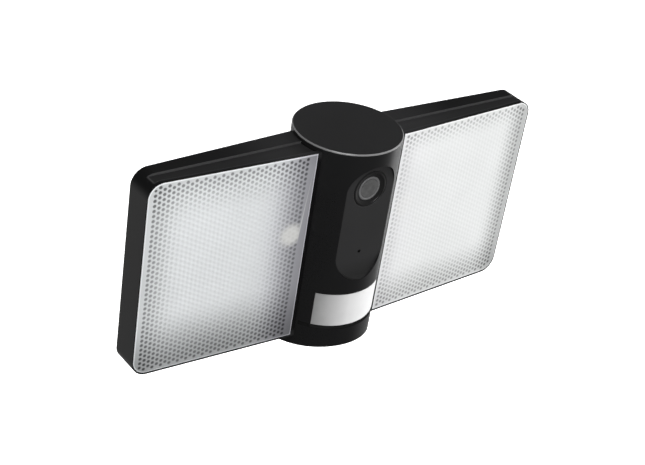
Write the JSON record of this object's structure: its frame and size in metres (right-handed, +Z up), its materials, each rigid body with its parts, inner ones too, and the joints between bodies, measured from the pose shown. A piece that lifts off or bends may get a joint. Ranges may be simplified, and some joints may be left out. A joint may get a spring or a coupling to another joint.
{
  "type": "floodlight security camera",
  "caption": "Wall-mounted security camera with two LED floodlight heads, a motion sensor and a pan and tilt bracket.",
  "frame": {"origin": "centre of the wall canopy's back face, where it meets the wall", "axes": "+Z up, -Y straight out of the wall, +X along the wall"},
  "size_m": [0.3378, 0.144, 0.176],
  "materials": {
    "bracket_black": "black powder coat, satin",
    "body_black": "satin moulded plastic",
    "cap_black": "satin moulded plastic, slightly paler",
    "lamp_black": "black coated casting, satin",
    "faceplate_black": "semi-gloss",
    "bezel_black": "semi-gloss",
    "ring_grey": "satin grey",
    "camera_glass": "polished, tinted",
    "barrel_black": "matt",
    "pir_white": "milky, satin",
    "diffuser_frost": "frosted and dimpled, translucent",
    "led_yellow": "phosphor",
    "board_white": "white solder mask on metal core",
    "aluminium_plate": "plain sheet",
    "plug_white": "soft silicone",
    "seal_rubber": "matt",
    "screw_steel": "plated",
    "plate_steel": "zinc plated",
    "washer_nylon": "natural nylon",
    "gland_black": "moulded nylon",
    "board_green": "circuit board",
    "board_brown": "circuit board",
    "antenna_brass": "printed strip",
    "button_rubber": "matt",
    "flap_plastic": "matt"
  },
  "bodies": {
    "bracket": {"canopy": "bracket_black", "canopy_gasket": "seal_rubber", "mounting_strap": "plate_steel", "canopy_screws": "screw_steel", "wire_grommet": "seal_rubber", "base_screws": "screw_steel", "pan_base": "bracket_black", "pan_bolt": "screw_steel", "pan_nut": "screw_steel", "pan_washers": "washer_nylon"},
    "link": {"swivel_link": "bracket_black", "tilt_bolt": "screw_steel", "tilt_nut": "screw_steel"},
    "head": {"tilt_washers": "washer_nylon", "tilt_lug": "bracket_black", "lug_screws": "screw_steel", "cable_gland": "gland_black", "front_shell": "body_black", "rear_shell": "body_black", "top_cap": "cap_black", "bottom_cap": "body_black", "shell_screws": "screw_steel", "faceplate": "faceplate_black", "lens_bezel": "bezel_black", "lens_ring": "ring_grey", "camera_window": "camera_glass", "lens_barrel": "barrel_black", "sensor_board": "board_green", "camera_bracket": "plate_steel", "microphone": "barrel_black", "pir_window": "pir_white", "pir_sensor": "plate_steel", "chassis": "aluminium_plate", "main_board": "board_green", "wifi_antenna": "antenna_brass", "driver_board": "board_brown", "speaker": "barrel_black", "button_board": "board_green", "card_socket": "plate_steel", "left_housing": "lamp_black", "left_gasket": "seal_rubber", "left_diffuser": "diffuser_frost", "left_leds": "led_yellow", "left_led_board": "board_white", "left_heat_spreader": "aluminium_plate", "left_wire_plug": "plug_white", "left_housing_screws": "screw_steel", "right_housing": "lamp_black", "right_gasket": "seal_rubber", "right_diffuser": "diffuser_frost", "right_leds": "led_yellow", "right_led_board": "board_white", "right_heat_spreader": "aluminium_plate", "right_wire_plug": "plug_white", "right_housing_screws": "screw_steel"},
    "button": {"reset_button": "button_rubber"},
    "flap": {"card_cover": "flap_plastic"}
  },
  "joints": [
    {"name": "pan", "type": "hinge", "parent": "bracket", "child": "link", "pos_m": [0, -0.032, 0], "axis": [0, 0, 1], "range_deg": [-25, 25]},
    {"name": "tilt", "type": "hinge", "parent": "link", "child": "head", "pos_m": [0, -0.053, 0], "axis": [1, 0, 0], "range_deg": [-25, 40]},
    {"name": "button_press", "type": "slide", "parent": "head", "child": "button", "axis": [0, 0.1702, 0.9854], "range_m": [0, 0.0008], "stiffness_N_per_m": 300, "springref_m": -0.002},
    {"name": "card_cover_hinge", "type": "hinge", "parent": "head", "child": "flap", "pos_m": [0.013, -0.11958, -0.04319], "axis": [1, 0, 0], "range_deg": [0, 95]}
  ]
}
